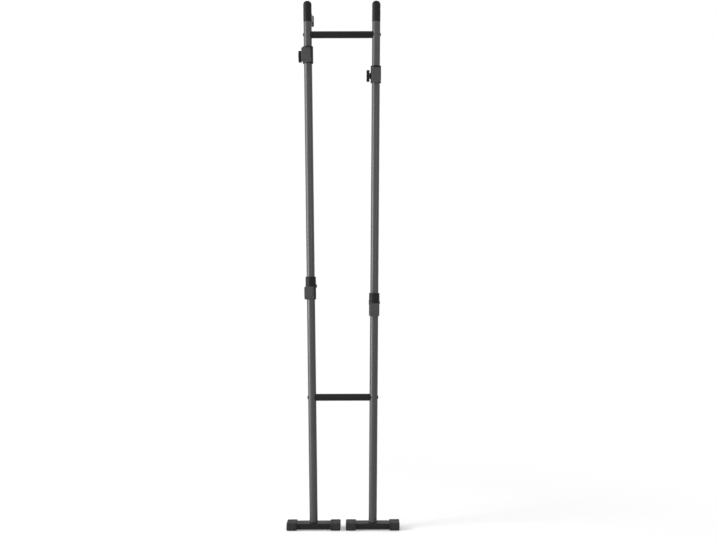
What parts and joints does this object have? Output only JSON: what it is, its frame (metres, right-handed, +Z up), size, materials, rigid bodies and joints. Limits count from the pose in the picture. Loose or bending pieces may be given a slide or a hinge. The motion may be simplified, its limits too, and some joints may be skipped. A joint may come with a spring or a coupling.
{
  "type": "two tier bike rack",
  "caption": "Tall steel bicycle rack on T feet, with struts to the wall at its top and rubber-lined cradles on arms that slide and clamp along its posts, to store bikes one above another.",
  "frame": {"origin": "on the floor, under the middle of the overall box", "axes": "+Z up the posts, +Y back to the wall, -Y to the front, where the bikes hang along X"},
  "size_m": [0.483, 0.461, 2.27],
  "materials": {
    "powder_coat": "satin black powder coat",
    "dark_powder_coat": "matt black powder coat",
    "black_plastic": "moulded, fine grain",
    "black_rubber": "matt",
    "grey_rubber": "matt",
    "black_fasteners": "black zinc plate",
    "zinc_plate": "bright zinc plate"
  },
  "bodies": {
    "frame": {"foot_bar_left": "dark_powder_coat", "foot_cap_left_outer": "black_rubber", "foot_cap_left_inner": "black_rubber", "lower_post_left": "powder_coat", "upper_post_left": "powder_coat", "foot_screw_left": "black_fasteners", "top_cap_left": "black_plastic", "wall_strut_left": "powder_coat", "wall_pad_left": "black_rubber", "foot_bar_right": "dark_powder_coat", "foot_cap_right_outer": "black_rubber", "foot_cap_right_inner": "black_rubber", "lower_post_right": "powder_coat", "upper_post_right": "powder_coat", "foot_screw_right": "black_fasteners", "top_cap_right": "black_plastic", "wall_strut_right": "powder_coat", "wall_pad_right": "black_rubber", "upper_cross_bar": "dark_powder_coat", "bar_saddle_upper_left": "black_plastic", "bar_bolt_upper_left": "black_fasteners", "bar_saddle_upper_right": "black_plastic", "bar_bolt_upper_right": "black_fasteners", "lower_cross_bar": "dark_powder_coat", "bar_saddle_lower_left": "black_plastic", "bar_bolt_lower_left": "black_fasteners", "bar_saddle_lower_right": "black_plastic", "bar_bolt_lower_right": "black_fasteners"},
    "upper_left_holder": {"upper_left_sleeve": "black_plastic", "upper_left_arm": "powder_coat", "upper_left_arm_pin": "zinc_plate", "upper_left_nut": "zinc_plate", "upper_left_tilt_bolt": "black_fasteners"},
    "upper_left_clamp": {"upper_left_knob": "black_plastic"},
    "upper_left_rest": {"upper_left_cradle": "dark_powder_coat", "upper_left_cradle_pad": "grey_rubber"},
    "upper_right_holder": {"upper_right_sleeve": "black_plastic", "upper_right_arm": "powder_coat", "upper_right_arm_pin": "zinc_plate", "upper_right_nut": "zinc_plate", "upper_right_tilt_bolt": "black_fasteners"},
    "upper_right_clamp": {"upper_right_knob": "black_plastic"},
    "upper_right_rest": {"upper_right_cradle": "dark_powder_coat", "upper_right_cradle_pad": "grey_rubber"},
    "lower_left_holder": {"lower_left_sleeve": "black_plastic", "lower_left_arm": "powder_coat", "lower_left_arm_pin": "zinc_plate", "lower_left_nut": "zinc_plate", "lower_left_tilt_bolt": "black_fasteners"},
    "lower_left_clamp": {"lower_left_knob": "black_plastic"},
    "lower_left_rest": {"lower_left_cradle": "dark_powder_coat", "lower_left_cradle_pad": "grey_rubber"},
    "lower_right_holder": {"lower_right_sleeve": "black_plastic", "lower_right_arm": "powder_coat", "lower_right_arm_pin": "zinc_plate", "lower_right_nut": "zinc_plate", "lower_right_tilt_bolt": "black_fasteners"},
    "lower_right_clamp": {"lower_right_knob": "black_plastic"},
    "lower_right_rest": {"lower_right_cradle": "dark_powder_coat", "lower_right_cradle_pad": "grey_rubber"}
  },
  "joints": [
    {"name": "upper_left_slide", "type": "slide", "parent": "frame", "child": "upper_left_holder", "axis": [-0.0097, 0, 1], "range_m": [-0.857, 0.033]},
    {"name": "upper_left_knob_turn", "type": "hinge", "parent": "upper_left_holder", "child": "upper_left_clamp", "pos_m": [-0.14617, -0.0495, 2.03], "axis": [-1, 0, -0.0097], "continuous": true},
    {"name": "upper_left_cradle_tilt", "type": "hinge", "parent": "upper_left_holder", "child": "upper_left_rest", "pos_m": [-0.14603, -0.1945, 2.015], "axis": [0, 1, 0], "range_deg": [-30, 30]},
    {"name": "upper_right_slide", "type": "slide", "parent": "frame", "child": "upper_right_holder", "axis": [0.0097, 0, 1], "range_m": [-0.773, 0.117]},
    {"name": "upper_right_knob_turn", "type": "hinge", "parent": "upper_right_holder", "child": "upper_right_clamp", "pos_m": [0.14536, -0.0495, 1.946], "axis": [-1, 0, 0.0097], "continuous": true},
    {"name": "upper_right_cradle_tilt", "type": "hinge", "parent": "upper_right_holder", "child": "upper_right_rest", "pos_m": [0.14522, -0.1945, 1.931], "axis": [0, 1, 0], "range_deg": [-30, 30]},
    {"name": "lower_left_slide", "type": "slide", "parent": "frame", "child": "lower_left_holder", "axis": [-0.0097, 0, 1], "range_m": [-0.4, 0.05]},
    {"name": "lower_left_knob_turn", "type": "hinge", "parent": "lower_left_holder", "child": "lower_left_clamp", "pos_m": [-0.13661, -0.0495, 1.043], "axis": [0, 1, 0], "continuous": true},
    {"name": "lower_left_cradle_tilt", "type": "hinge", "parent": "lower_left_holder", "child": "lower_left_rest", "pos_m": [-0.13642, -0.1945, 1.023], "axis": [0, 1, 0], "range_deg": [-30, 30]},
    {"name": "lower_right_slide", "type": "slide", "parent": "frame", "child": "lower_right_holder", "axis": [0.0097, 0, 1], "range_m": [-0.33, 0.12]},
    {"name": "lower_right_knob_turn", "type": "hinge", "parent": "lower_right_holder", "child": "lower_right_clamp", "pos_m": [0.13592, -0.0495, 0.972], "axis": [0, 1, 0], "continuous": true},
    {"name": "lower_right_cradle_tilt", "type": "hinge", "parent": "lower_right_holder", "child": "lower_right_rest", "pos_m": [0.13573, -0.1945, 0.952], "axis": [0, 1, 0], "range_deg": [-30, 30]}
  ]
}
